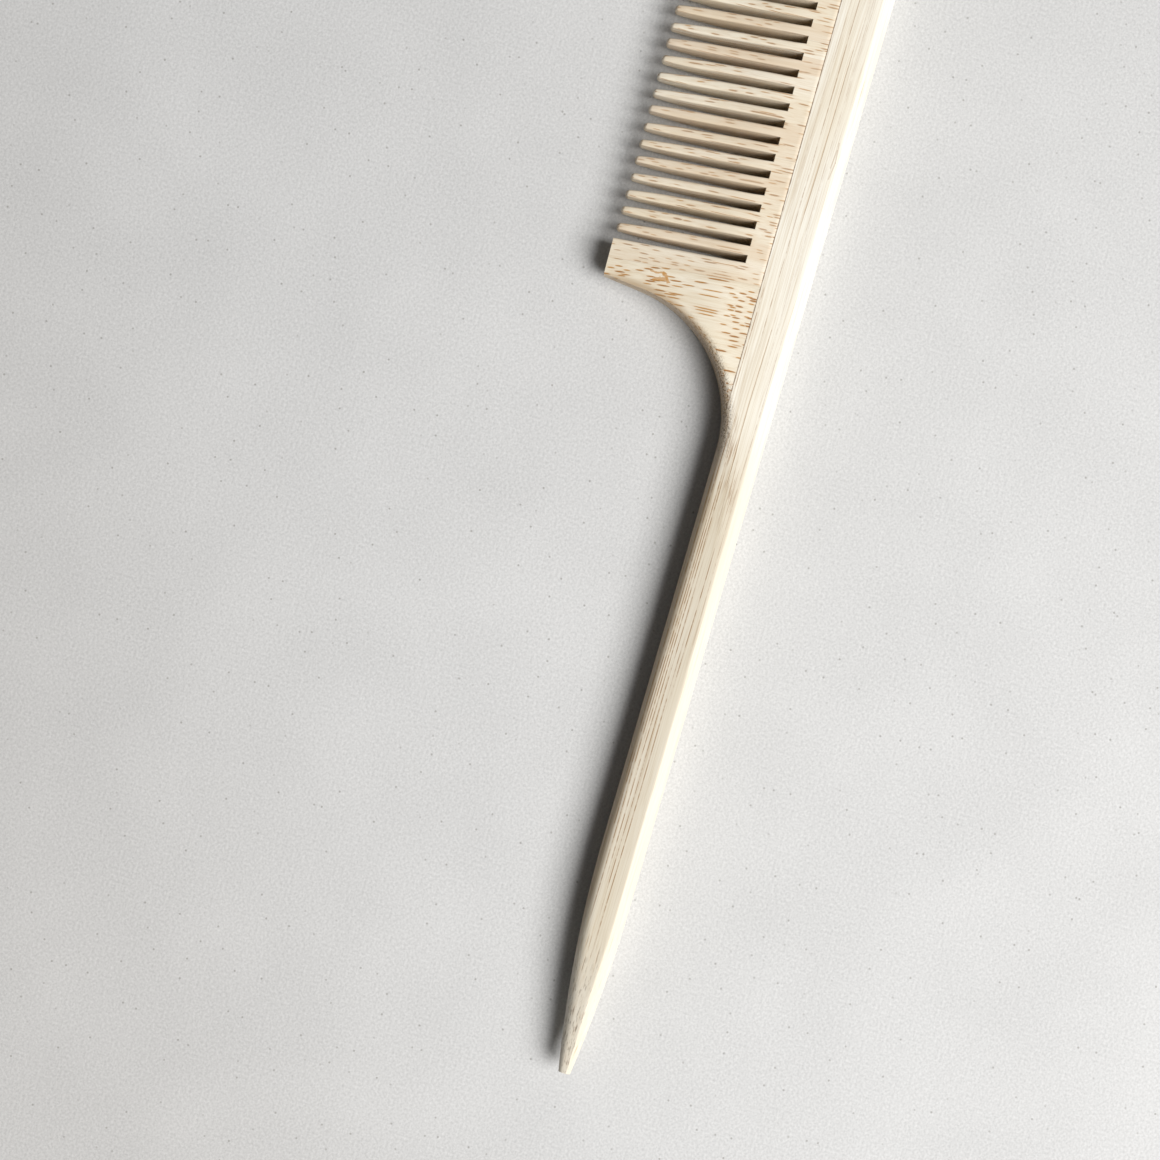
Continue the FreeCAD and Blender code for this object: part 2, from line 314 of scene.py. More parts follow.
def tail_section(x):
    """The upper half of the tail's section at x as (y, z), and the depth of the groove in it."""
    back_y = arc_drop(TIP_BACK_TAPER - x, TIP_BACK_TAPER, TIP_BACK_DROP)
    swell = max(x - TIP_TOOTH_SIDE_TAPER, 0.0) / (NECK_X - TIP_TOOTH_SIDE_TAPER)
    full_y = TAIL_WIDTH_THIN + swell * (TAIL_WIDTH_NECK - TAIL_WIDTH_THIN)
    tooth_y = full_y - arc_drop(TIP_TOOTH_SIDE_TAPER - x, TIP_TOOTH_SIDE_TAPER, TIP_TOOTH_SIDE_DROP)
    face = HALF - arc_drop(TIP_FACE_TAPER - x, TIP_FACE_TAPER, TIP_FACE_DROP)
    largest = TAIL_CORNER_SHARE * min(tooth_y - back_y, 2 * face)
    facet, radius = min(BACK_FACET, largest), min(TAIL_ROUNDING, largest)
    upper = []
    for y in across_section(back_y, tooth_y, facet, radius):
        half = face - facet_drop(y - back_y, facet) - rounding(tooth_y - y, radius)
        upper.append((y, half - slope_drop(x, y, back_y + facet)))
    return upper, 0.0


def head_section(x):
    """The same in the head, where the stick's side is the neck's arc and then the glue line."""
    side_y = glue_line(x)
    if x < FIRST_SLAT_START_X:
        side_y = NECK_CENTRE_Y - math.sqrt(NECK_RADIUS**2 - (x - NECK_X) ** 2)
    corner = max(x - LENGTH + FAR_BACK_CORNER, 0.0)
    back_y = FAR_BACK_CORNER - math.sqrt(FAR_BACK_CORNER**2 - corner**2)
    facet = min(BACK_FACET, HEAD_FACET_SHARE * (side_y - back_y))
    radius = min(TAIL_ROUNDING, HEAD_ROUNDING_SHARE * (side_y - back_y))
    places = across_section(back_y, side_y, facet, radius)
    depth = TONGUE_DEPTH if TONGUE_START_X <= x <= TONGUE_END_X else 0.0
    return [(y, head_half_thickness(x, y)) for y in places], depth


def make_stick():
    """The spine and tail: one mesh through a row of closed rings across it."""
    tip_shares = [(n / TIP_SECTIONS) ** TIP_CROWDING for n in range(TIP_SECTIONS + 1)]
    tail = [TIP_TOOTH_SIDE_TAPER * share for share in tip_shares]
    tail += spaced(TIP_TOOTH_SIDE_TAPER, NECK_X, SHAFT_SECTIONS)[1:]
    far_corner_x = LENGTH - FAR_BACK_CORNER
    head = spaced(NECK_X, FIRST_SLAT_START_X - ABRUPT_LENGTH, NECK_SECTIONS)[1:]
    head += spaced(FIRST_SLAT_START_X, TONGUE_START_X - ABRUPT_LENGTH, UNGROOVED_SECTIONS)
    head += spaced(TONGUE_START_X, TONGUE_END_X, GROOVED_SECTIONS)
    head += spaced(TONGUE_END_X + ABRUPT_LENGTH, far_corner_x, FAR_SECTIONS)
    corner_angles = quarter_turn(CORNER_SECTIONS)[1:]
    head += [LENGTH - FAR_BACK_CORNER * (1 - math.sin(angle)) for angle in corner_angles]

    sections = [(x, *tail_section(x)) for x in tail]
    sections += [(x, *head_section(min(x, LENGTH))) for x in head]
    bm = bmesh.new()
    rings = []
    for x, upper, groove in sections:
        side_y, side_z = upper[-1]
        outer_z = min(TONGUE_HALF_THICKNESS, STICK_WALL_SHARE * side_z)
        inner_z = outer_z if groove else UNGROOVED_WALL_SHARE * outer_z
        half_ring = upper + [(side_y, outer_z), (side_y - groove, inner_z)]
        ring = half_ring + [(y, -z) for y, z in reversed(half_ring)]
        rings.append([bm.verts.new(to_row(x, y, z)) for y, z in ring])
    for ring, following in zip(rings, rings[1:]):
        for n in range(len(ring)):
            after = (n + 1) % len(ring)
            bm.faces.new((ring[n], ring[after], following[after], following[n]))
    bm.faces.new(rings[0])
    bm.faces.new(rings[-1])
    return new_object("spine_and_tail_stick", bm)


def add_tongue(bm, wall, edges):
    """The tongue that stands out of a slab's side along edges, pairs of corners of its grid.

    wall has the two vertices on the side at each corner. Blender's own extrusion would put the
    faces in a different order from run to run.
    """
    corners = [corner for edge in edges for corner in edge]
    out = {}
    for corner in dict.fromkeys(corners):
        places = [vertex.co - Vector((0, TONGUE_DEPTH * MM, 0)) for vertex in wall[corner]]
        out[corner] = [bm.verts.new(place) for place in places]
    for start, end in edges:
        bm.faces.new((wall[start][0], wall[end][0], out[end][0], out[start][0]))
        bm.faces.new((out[start][0], out[end][0], out[end][1], out[start][1]))
        bm.faces.new((out[start][1], out[end][1], wall[end][1], wall[start][1]))
    for corner in out:
        if corners.count(corner) == 1:
            bm.faces.new((wall[corner][0], out[corner][0], out[corner][1], wall[corner][1]))


def make_slab(name, grid, filled, tongue_row):
    """A slab with equal upper and lower faces on a grid of (x, y, half thickness) points.

    filled(i, j) says whether the cell after column i and row j is there. Upright walls close every
    open side, and a tongue stands out of the side along tongue_row.
    """
    bm = bmesh.new()
    columns, rows = len(grid), len(grid[0])
    cells = [(i, j) for i in range(columns - 1) for j in range(rows - 1) if filled(i, j)]
    faces = [[(i, j), (i + 1, j), (i + 1, j + 1), (i, j + 1)] for i, j in cells]
    used = sorted({corner for face in faces for corner in face})
    edge_count = {}
    for face in faces:
        for start, end in zip(face, face[1:] + face[:1]):
            key = (start, end) if start < end else (end, start)
            edge_count[key] = edge_count.get(key, 0) + 1
    sides = [edge for edge, count in edge_count.items() if count == 1]

    top, bottom, wall = {}, {}, {}
    for i, j in used:
        x, y, half = grid[i][j]
        top[i, j] = bm.verts.new(to_row(x, y, half))
        bottom[i, j] = bm.verts.new(to_row(x, y, -half))
    for i, j in sorted({corner for edge in sides for corner in edge}):
        x, y, half = grid[i][j]
        level = min(TONGUE_HALF_THICKNESS, SLAT_WALL_SHARE * half)
        wall[i, j] = (bm.verts.new(to_row(x, y, level)), bm.verts.new(to_row(x, y, -level)))
    for face in faces:
        bm.faces.new([top[corner] for corner in face])
        bm.faces.new([bottom[corner] for corner in reversed(face)])
    tongue_edges = []
    for start, end in sides:
        bm.faces.new((top[start], top[end], wall[end][0], wall[start][0]))
        bm.faces.new((wall[start][1], wall[end][1], bottom[end], bottom[start]))
        xs = [grid[i][j][0] for i, j in (start, end)]
        on_row = start[1] == end[1] == tongue_row
        if on_row and min(xs) >= TONGUE_START_X and max(xs) <= TONGUE_END_X:
            tongue_edges.append((start, end))
        else:
            bm.faces.new((wall[start][0], wall[end][0], wall[end][1], wall[start][1]))
    add_tongue(bm, wall, tongue_edges)
    return new_object(name, bm)


def edge_rounding(distance, length_along):
    """How far a tooth's rounded long edges lie below its face, from nearly square at the root."""
    grown = smooth_step(length_along / TOOTH_EDGE_RUN_IN)
    share = TOOTH_EDGE_ROOT_SHARE + (1 - TOOTH_EDGE_ROOT_SHARE) * grown
    return rounding(distance, TOOTH_EDGE_ROUNDING * share)


def glue_groove(distance):
    """The fine groove that sanding leaves along a glue line."""
    return GLUE_GROOVE_DEPTH * max(1 - distance / GLUE_GROOVE_REACH, 0.0)


def slanted(root_x, y):
    """The x at height y of the slanted line that crosses the slot roots at root_x."""
    return root_x - rise(SLANT) * (y - root_line(root_x))


def row_heights(root_x):
    """The rows' y along one slanted line: from the glue line to the root, then along the tooth."""
    tilt = rise(SLANT) * (root_line(root_x) - GLUE_LINE_Y)
    glue_y = glue_line(root_x + tilt)
    root_y = root_line(root_x)
    band = [glue_y, glue_y + GLUE_GROOVE_REACH]
    band += [glue_y + (root_y - glue_y) * share for share in BAND_SHARES]
    tip_y = tip_line(slanted(root_x, TIP_LINE_Y))
    nose_y = tip_y - TOOTH_TIP_LENGTH
    tooth = [root_y + offset for offset in ROOT_ROW_OFFSETS]
    tooth += spaced(tooth[-1], nose_y, TOOTH_ROWS)[1:]
    nose_angles = quarter_turn(NOSE_ROWS)[1:-1]
    tooth += [nose_y + TOOTH_TIP_LENGTH * math.sin(angle) for angle in nose_angles]
    return band + tooth + [tip_y]


def tooth_columns(number, dice):
    """The columns of one tooth between its two slots, each a list of (x, y, half thickness)."""
    left = slot_x(number) + SLOT_WIDTH / 2
    right = slot_x(number + 1) - SLOT_WIDTH / 2
    centre, half_width = (left + right) / 2, (right - left) / 2
    lean = dice.gauss(0, TOOTH_LEAN_SPREAD)
    wider = dice.gauss(0, TOOTH_WIDTH_SPREAD)
    shorter = abs(dice.gauss(0, TOOTH_LENGTH_SPREAD))
    thinner = abs(dice.gauss(0, TOOTH_THICKNESS_SPREAD))
    wave_phase = dice.uniform(0, 2 * math.pi)
    wave = dice.gauss(0, TOOTH_WAVE_SPREAD)
    heights = row_heights(centre)
    root_y, tip_y = heights[BAND_ROWS], heights[-1]
    length = tip_y - root_y
    columns = []
    for share in TOOTH_COLUMN_SHARES:
        column = []
        for y in heights:
            along = max(y - root_y, 0.0)
            to_tip = along / length
            placed_y = y - shorter * to_tip**TOOTH_LENGTH_POWER
            tapered = along - length + TOOTH_TAPER_LENGTH
            width = half_width * (1 + wider * smooth_step(along / TOOTH_WIDTH_RUN_IN))
            width -= arc_drop(tapered, TOOTH_TAPER_LENGTH, TOOTH_TAPER_DEPTH)
            nose = max(along - length + TOOTH_TIP_LENGTH, 0.0) / TOOTH_TIP_LENGTH
            blunt = math.sqrt(max(1 - (NOSE_WIDTH_LOSS * nose) ** 2, 0.0))
            sway = lean * to_tip**TOOTH_LEAN_POWER
            sway += wave * math.sin(wave_phase + TOOTH_WAVE_RADIANS * to_tip)
            sway *= smooth_step(along / TOOTH_SWAY_RUN_IN)
            x = slanted(centre, y) + share * width * blunt + sway
            half = HALF - wedge_drop(x, y) - thinner * smooth_step(to_tip)
            half -= edge_rounding((1 - abs(share)) * width, along) if along > 0 else 0.0
            half *= NOSE_THICKNESS_SHARE + (1 - NOSE_THICKNESS_SHARE) * blunt
            column.append((x, placed_y, half - glue_groove(y - heights[0])))
        columns.append(column)
    return columns


def solid_columns(left_x, right_x, left_is_slot, right_is_slot):
    """Columns of an unslotted stretch: left_x and right_x are where its sides cross the roots.

    A side that is the comb's far end is upright, and the others are slanted.
    """
    width = right_x - left_x
    offsets = list(EDGE_COLUMN_OFFSETS)
    offsets += spaced(INNER_COLUMNS_START, width - INNER_COLUMNS_START, GUARD_COLUMNS)
    offsets += [width - offset for offset in reversed(EDGE_COLUMN_OFFSETS)]
    far_end = right_x == LENGTH
    columns = []
    for offset in offsets:
        share = offset / width
        column = []
        for left_y, right_y in zip(row_heights(left_x), row_heights(right_x)):
            side_x = slanted(left_x, left_y)
            other_x = LENGTH if far_end else slanted(right_x, right_y)
            x, y = side_x + (other_x - side_x) * share, left_y + (right_y - left_y) * share
            along = y - root_line(x)
            if far_end:
                x, y = round_far_tooth_corner(x, y)
            half = head_half_thickness(x, y)
            for is_slot, distance in ((left_is_slot, offset), (right_is_slot, width - offset)):
                if is_slot and along > 0:
                    half -= edge_rounding(distance, along)
                elif not is_slot and not (far_end and distance == width - offset):
                    half -= SEAM_SHARE * glue_groove(distance)
            column.append((x, y, half - glue_groove(y - glue_line(x))))
        columns.append(column)
    return columns


def round_far_tooth_corner(x, y):
    """Draws the square corner between the tooth tips and the far end into a quarter circle."""
    centre_x, centre_y = LENGTH - FAR_TOOTH_CORNER, tip_line(LENGTH) - FAR_TOOTH_CORNER
    u, v = (x - centre_x) / FAR_TOOTH_CORNER, (y - centre_y) / FAR_TOOTH_CORNER
    if u <= 0 or v <= 0:
        return x, y
    round_u, round_v = u * math.sqrt(1 - v * v / 2), v * math.sqrt(1 - u * u / 2)
    return centre_x + FAR_TOOTH_CORNER * round_u, centre_y + FAR_TOOTH_CORNER * round_v


def glued_edge_column(root_x):
    """One column along a glue line between two slats, solid only in the band below the roots."""
    column = []
    for y in row_heights(root_x):
        x = slanted(root_x, y)
        column.append((x, y, head_half_thickness(x, y) - SEAM_SHARE * GLUE_GROOVE_DEPTH))
    return column


def make_toothed_slat(name, first_x, last_x, dice):
    """A slat from one glue line to the next, with its slots sawn out."""
    columns = []
    open_cells = set()
    low, high = first_x - SLOT_TOLERANCE, last_x + SLOT_TOLERANCE
    slots = [n for n in range(SLOT_COUNT) if low < slot_x(n) < high]
    first_side, last_side = slot_x(slots[0]) - SLOT_WIDTH / 2, slot_x(slots[-1]) + SLOT_WIDTH / 2
    if abs(slot_x(slots[0]) - first_x) < SLOT_TOLERANCE:
        columns.append(glued_edge_column(first_x))
    else:
        columns += solid_columns(first_x, first_side, False, True)
    open_cells.add(len(columns) - 1)
    for number in slots[:-1]:
        columns += tooth_columns(number, dice)
        open_cells.add(len(columns) - 1)
    if last_x == LENGTH:
        columns += solid_columns(last_side, LENGTH, True, False)
    else:
        columns.append(glued_edge_column(last_x))
    return make_slab(name, columns, lambda i, j: j < BAND_ROWS or i not in open_cells, tongue_row=0)


def between(start, end, share):
    """The point at a share of the way from start to end."""
    return start[0] + (end[0] - start[0]) * share, start[1] + (end[1] - start[1]) * share


def neck_point(angle):
    """The point of the neck's arc at an angle round it from the tail."""
    return NECK_X + NECK_RADIUS * math.sin(angle), NECK_CENTRE_Y - NECK_RADIUS * math.cos(angle)


def make_neck_guard_slat():
    """The first slat, between the neck's arc, the long glue line, the next slat and the tips."""
    lean = math.radians(GUARD_SIDE_LEAN)
    start_angle = math.asin((FIRST_SLAT_START_X - NECK_X) / NECK_RADIUS)
    end_angle = math.pi / 2 - lean
    arc_length = NECK_RADIUS * (end_angle - start_angle)
    end_x, end_y = neck_point(end_angle)
    side_length = (tip_line(end_x) - end_y) / math.cos(lean)
    heights = row_heights(GUARD_GLUE_LINE_X)
    corner = (slanted(GUARD_GLUE_LINE_X, heights[0]), heights[0])
    top = (slanted(GUARD_GLUE_LINE_X, heights[-1]), heights[-1])
    start = (FIRST_SLAT_START_X, glue_line(FIRST_SLAT_START_X))
    low_steps = NECK_STEPS // 2
    columns = []
    for step in range(NECK_STEPS + 1):
        distance = (arc_length + side_length) * (step / NECK_STEPS) ** NECK_STEP_CROWDING
        angle = min(start_angle + distance / NECK_RADIUS, end_angle)
        past_arc = max(distance - arc_length, 0.0)
        x, y = neck_point(angle)
        inner = (x + past_arc * math.sin(lean), y + past_arc * math.cos(lean))
        on_long_line = step <= low_steps
        if on_long_line:
            outer = between(start, corner, step / low_steps)
        else:
            outer = between(corner, top, (step - low_steps) / (NECK_STEPS - low_steps))
        shares = [(n / NECK_ROWS) ** NECK_ROW_CROWDING for n in range(NECK_ROWS + 1)]
        reach = math.dist(inner, outer)
        if reach > 1:
            shares[-2] = 1 - GLUE_GROOVE_REACH / reach
        column = []
        for share in shares:
            x, y = between(inner, outer, share)
            column.append((x, y, head_half_thickness(x, y)))
        x, y, half = column[-1]
        column[-1] = (x, y, half - GLUE_GROOVE_DEPTH * (1 if on_long_line else SEAM_SHARE))
        columns.append(column)
    return make_slab("neck_guard_blank", columns, lambda i, j: True, tongue_row=NECK_ROWS)


def slat_limits():
    """Every slat's CAD node with its two sides' x at the slot roots."""
    glued = range(FIRST_GLUED_SLOT, SLOT_COUNT, SLOTS_PER_SLAT)
    sides = [GUARD_GLUE_LINE_X] + [slot_x(n) for n in glued] + [LENGTH]
    nodes = [f"tooth_slat_{n}" for n in range(1, len(sides) - 1)] + ["end_guard_slat"]
    return list(zip(nodes, sides[:-1], sides[1:]))


def add_piece(piece, material, node):
    piece.data.materials.append(material)
    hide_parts(node)
    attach(piece, "root")


# ---- How the materials look ----


def linear(red, green, blue):
    """A colour given as it looks on a screen, from 0 to 255, as the shader's linear values."""
    shares = (value / 255 for value in (red, green, blue))
    return tuple(c / 12.92 if c <= 0.04045 else ((c + 0.055) / 1.055) ** 2.4 for c in shares)


STICK_LOOK = {
    "pale": linear(243, 239, 227),
    "warm": linear(239, 232, 215),
    "tan": linear(192, 170, 136),
    "golden": linear(188, 152, 104),
    "brown": linear(128, 94, 62),
    "bundle_spacing": 0.6,
    "bundle_layer": 0.6,
    "bundle_size": 0.09,
    "bundle_spread": 0.12,
    "bundle_gap": 0.78,
    "outer_bundle_gap": -0.45,
    "tip_bundle_gap": -0.65,
    "streaks": 0.2,
    "outer_streaks": 0.3,
    "handle_streaks": 0.5,
    "fine_lines": 0.55,
    "fine_length": 0.05,
    "sheath": 0.22,
    "core": 0.5,
    "tip_core": 0.35,
}
SLAT_LOOK = {
    "pale": linear(241, 234, 217),
    "warm": linear(233, 222, 199),
    "tan": linear(200, 174, 136),
    "golden": linear(194, 142, 76),
    "brown": linear(146, 98, 50),
    "fibre_tilt": -0.055,
    "bundle_spacing": 0.46,
    "bundle_layer": 0.22,
    "bundle_size": 0.2,
    "bundle_spread": 0.12,
    "bundle_gap": 0.38,
    "streaks": 0.3,
    "fine_lines": 0.3,
    "fine_length": 0.2,
    "sheath": 0.14,
    "core": 0.75,
    "tooth_tone": 0.5,
    "marks": (),
}

# The small branching mark that a node of the cane left on the first guard, and the faint one that
# it left on the spine, close to its back edge
NODE_MARKS = (
    ((127.0, 22.2), (128.2, 23.3)),
    ((128.2, 23.3), (127.9, 25.6)),
    ((127.4, 22.8), (126.8, 24.8)),
)
NODE_MARK_HALF_WIDTH, NODE_MARK_STRENGTH = 0.13, 0.75
NODE_MARK_BEND = 1.2
SPINE_NODE_MARKS = (
    ((149.8, 2.35), (152.6, 2.0)),
    ((152.6, 2.0), (155.8, 2.3)),
    ((151.6, 2.55), (154.6, 2.3)),
)
SPINE_MARK_HALF_WIDTH, SPINE_MARK_STRENGTH = 0.06, 0.3
MARKED_Z = (0.0, 0.5)

NECK_GUARD_LOOK = {
    "fibre_tilt": -0.06,
    "bundle_spacing": 0.52,
    "bundle_layer": 0.2,
    "bundle_size": 0.24,
    "bundle_spread": 0.1,
    "bundle_gap": 0.26,
    "core": 0.95,
    "brown": linear(158, 106, 48),
    "tooth_tone": 0.0,
    "marks": NODE_MARKS,
}

# How the fibres vary: noise scales across them, along them and into the depth, and the range of
# each noise over which the colour turns
WANDER_SCALES = (0.12, 0.025, 1)
SIDEWAYS_WANDER, SIDEWAYS_SHIFT = 1.6, 13.7
DEPTH_WANDER, DEPTH_SHIFT, DEPTH_SEED_SHIFT = 1.2, 7.3, 31.0
RAGGED_SCALES, RAGGEDNESS = (5.0, 0.9, 5.0), 0.16
STREAK_SCALES, STREAK_RANGE = (3.4, 0.045, 3.4), (0.42, 0.72)
FINE_SCALE, FINE_RANGE = 9.0, (0.45, 0.75)
BROAD_SCALES, BROAD_RANGE = (0.22, 0.03, 0.22), (0.3, 0.7)
CORE_START, SHEATH_REACH = 0.55, 2.2
BUNDLE_CHANCE_RANGE = (0.0, 0.08)

# Relief and gloss of the bamboo
FINE_HEIGHT, STREAK_HEIGHT, CORE_HEIGHT = 0.35, 0.4, -0.9
BUMP_STRENGTH, BUMP_HEIGHT = 0.6, 0.00006
ROUGHNESS, FINE_ROUGHNESS, CORE_ROUGHNESS = 0.36, 0.22, 0.2
SPECULAR = 0.35

# Where on the stick the bamboo changes: towards its outer side, at the cut tip and on the tail; and
# a painted highlight on the back edge
OUTER_Y = (2.0, 8.5)
TIP_X, TIP_FACE_Y = (9.0, 26.0), (1.9, 2.5)
HANDLE_X = (92.0, 114.0)
# Painted highlight: the bevelled back edge, which faces the lamp, is painted paler
PAINTED_HIGHLIGHT_Y, PAINTED_HIGHLIGHT_STRENGTH = (1.2, 2.1), 0.22
PAINTED_HIGHLIGHT_COLOUR = linear(236, 232, 222)
CUT_SCALES, CUT_RANGE = (0.55, 4.2, 4.2), (0.55, 0.64)

# Painted shade on the tooth side and neck's arc, away from the lamp; end grain speckle on the arc
SIDE_SHADE_REACH, SIDE_BAND_FULL_SHARE = 1.4, 0.15
PEPPER_REACH, PEPPER_SCALES, PEPPER_RANGE = 2.1, (3.4, 4.5, 4.5), (0.5, 0.57)
PEPPER_X = (100.0, 107.0, 115.0, 125.0)

# The stick's long grain lines: the height across it, where along the comb each one runs, and how
# strong it is
GRAIN_LINES = (
    (5.52, 118.0, 232.0, 0.55),
    (3.44, 112.0, 205.0, 0.3),
    (3.16, 126.0, 236.0, 0.22),
    (3.89, 158.0, 228.0, 0.25),
    (6.85, 140.0, 236.0, 0.28),
    (7.32, 108.0, 136.0, 0.7),
    (3.84, 18.0, 76.0, 0.8),
    (3.31, 60.0, 92.0, 0.8),
    (5.05, 30.0, 104.0, 0.8),
    (5.75, 22.0, 98.0, 0.8),
    (6.25, 34.0, 112.0, 0.8),
    (6.65, 40.0, 106.0, 0.8),
    (5.4, 52.0, 110.0, 0.8),
    (4.45, 24.0, 88.0, 0.8),
    (2.35, 66.0, 128.0, 0.4),
)
GRAIN_LINE_COLOUR = linear(150, 108, 62)
GRAIN_LINE_HALF_WIDTH, GRAIN_LINE_SOFTNESS, GRAIN_LINE_FADE = 0.025, 0.1, 9
GRAIN_SWAY_SCALES, GRAIN_SWAY = (0.03, 1, 1), 0.5
GRAIN_GAP_SCALES, GRAIN_GAP_RANGE, GRAIN_GAP_STRENGTH = (0.35, 1, 1), (0.36, 0.56), 0.25

# The cut fibres where the tail's sloping face meets the head's flat one
DASH_HALF_WIDTH, DASH_SOFTNESS = 0.3, 1.4
DASH_SCALES, DASH_RANGE, DASH_SEED = (0.2, 5.5, 1), (0.5, 0.62), 9.0
DASH_X = (86.0, 97.0, 109.0, 113.0)

# The dark hairline of the long glue line, and the fainter ones between the slats
GLUE_X = (109.0, 113.0)
GLUE_SCALES, GLUE_RANGE, GLUE_SEED = (0.7, 1, 1), (0.35, 0.7), 5.0
GLUE_HALF_WIDTH, GLUE_SOFTNESS = 0.07, 0.1
SEAM_HALF_WIDTH, SEAM_SOFTNESS, SEAM_STRENGTH = 0.02, 0.06, 0.25

# Each overlaid colour's strength and colour; the side shade is painted shade
GLUE_STAIN = (0.75, linear(112, 76, 42))
TIP_STAIN = (0.35, linear(205, 201, 193))
CUT_STAIN = (0.55, linear(118, 102, 82))
# Painted shade on the tooth sides, which face away from the lamp
PAINTED_SIDE_SHADE = (0.6, linear(164, 134, 96))
PEPPER_STAIN = (0.75, linear(84, 62, 40))
DASH_STAIN = (0.6, GRAIN_LINE_COLOUR)
HANDLE_STAIN = (0.42, linear(205, 190, 162))
SPECK_STAIN = (0.5, linear(120, 116, 108))
TOOTH_TONE_COLOUR = linear(214, 188, 158)

# Floor: its colour on the bright side, and a painted shade on the other, where across the picture
# it turns, and its fine grain, its clouds and its specks
FLOOR_COLOUR = linear(206, 206, 205)
FLOOR_SHADE_COLOUR = linear(198, 197, 195)
FLOOR_SHADE_ASIDE, FLOOR_SHADE_RANGE = -0.7, (-10.0, 110.0)
FLOOR_GRAIN_SCALES, FLOOR_GRAIN, FLOOR_TONE = (2.4, 2.4, 1), 0.7, 0.65
FLOOR_CLOUD_SCALES, FLOOR_CLOUD, FLOOR_CLOUD_SEED = (0.05, 0.05, 1), 0.14, 4.0
SPECK_SCALE, SPECK_SIZE, SPECK_CHANCE = 0.3, (0.03, 0.07), (0.6, 0.9)
FLOOR_ROUGHNESS, FLOOR_SPECULAR = 0.9, 0.1


# ---- Materials ----


class Shading:
    """Short calls for the nodes of one material. Values and sockets may be mixed freely."""

    def __init__(self, name):
        self.material = bpy.data.materials.new(name)
        self.material.use_nodes = True
        self.nodes = self.material.node_tree.nodes
        self.shader = self.nodes["Principled BSDF"]

    def put(self, socket, value):
        if isinstance(value, bpy.types.NodeSocket):
            self.material.node_tree.links.new(value, socket)
        elif isinstance(value, tuple) and len(value) == 3 and socket.type == "RGBA":
            socket.default_value = (*value, 1)
        else:
            socket.default_value = value

    def node(self, kind, inputs, settings=None):
        made = self.nodes.new("ShaderNode" + kind)
        for name, value in (settings or {}).items():
            setattr(made, name, value)
        for key, value in inputs.items():
            self.put(made.inputs[key], value)
        return made

    def math(self, operation, first, second=0.0, third=0.0):
        inputs = {0: first, 1: second, 2: third}
        return self.node("Math", inputs, {"operation": operation}).outputs[0]

    def add(self, first, second):
        return self.math("ADD", first, second)

    def times(self, first, second):
        return self.math("MULTIPLY", first, second)

    def times_add(self, value, by, more):
        return self.math("MULTIPLY_ADD", value, by, more)

    def vector(self, x, y, z):
        return self.node("CombineXYZ", {"X": x, "Y": y, "Z": z}).outputs[0]

    def step(self, value, low, high, to_low=0.0, to_high=1.0):
        """A smooth step from to_low, where value is low, to to_high, where it is high."""
        keys = ("Value", "From Min", "From Max", "To Min", "To Max")
        inputs = dict(zip(keys, (value, low, high, to_low, to_high)))
        return self.node("MapRange", inputs, {"interpolation_type": "SMOOTHSTEP"}).outputs[0]

    def window(self, value, start, full, leave, end):
        """0 below start and above end, and 1 between full and leave."""
        return self.times(self.step(value, start, full), self.step(value, leave, end, 1.0, 0.0))

    def noise(self, place, scales=(1, 1, 1), detail=2.0, rough=0.5):
        """Noise at a place of three values, each multiplied by its own scale."""
        scaled = [part if by == 1 else self.times(part, by) for part, by in zip(place, scales)]
        inputs = {"Vector": self.vector(*scaled), "Scale": 1.0}
        inputs.update({"Detail": detail, "Roughness": rough})
        return self.node("TexNoise", inputs).outputs[0]

    def swing(self, noise, width):
        """A noise as an amount to either side of 0, width from one end to the other."""
        return self.times_add(noise, width, -width / 2)

    def cells(self, x, y):
        """Distance to the nearest of points scattered on a plane, and two random numbers for it."""
        inputs = {"Vector": self.vector(x, y, 0.0), "Scale": 1.0}
        made = self.node("TexVoronoi", inputs, {"voronoi_dimensions": "2D"})
        random_parts = self.node("SeparateColor", {"Color": made.outputs["Color"]})
        return made.outputs["Distance"], random_parts.outputs[0], random_parts.outputs[1]

    def mix(self, share, first, second, kind="MIX"):
        made = self.node("Mix", {}, {"data_type": "RGBA", "blend_type": kind})
        for key, value in ((0, share), (6, first), (7, second)):
            self.put(made.inputs[key], value)
        return made.outputs[2]

    def stain(self, colour, mask, strength, stain):
        """The colour mixed with another, where the mask is 1, by that one's strength."""
        return self.mix(self.times(mask, strength), colour, stain)

    def finish(self, sockets):
        """The material, with what goes into each of its shader's sockets."""
        for name, value in sockets.items():
            self.put(self.shader.inputs[name], value)
        return self.material


def place_nodes(shading):
    """The x, y and z of the surface point, in millimetres, in the comb's shaping frame."""
    place = shading.node("TexCoord", {}).outputs["Object"]
    offset = (LENGTH / 2, BREADTH / 2, -HALF)
    inputs = {0: place, 1: (1 / MM,) * 3, 2: offset}
    scaled = shading.node("VectorMath", inputs, {"operation": "MULTIPLY_ADD"}).outputs[0]
    return shading.node("SeparateXYZ", {0: scaled}).outputs


def wandering(shading, across, along, depth, seed):
    """The fibres' own frame: they wander a little from side to side as they run."""
    sideways = shading.noise((across, along, seed), WANDER_SCALES, 1.0)
    inwards = shading.noise((across, along, seed + DEPTH_SEED_SHIFT), WANDER_SCALES, 1.0)
    sideways = shading.times_add(sideways, SIDEWAYS_WANDER, seed * SIDEWAYS_SHIFT)
    inwards = shading.times_add(inwards, DEPTH_WANDER, seed * DEPTH_SHIFT)
    return shading.add(across, sideways), shading.add(depth, inwards)


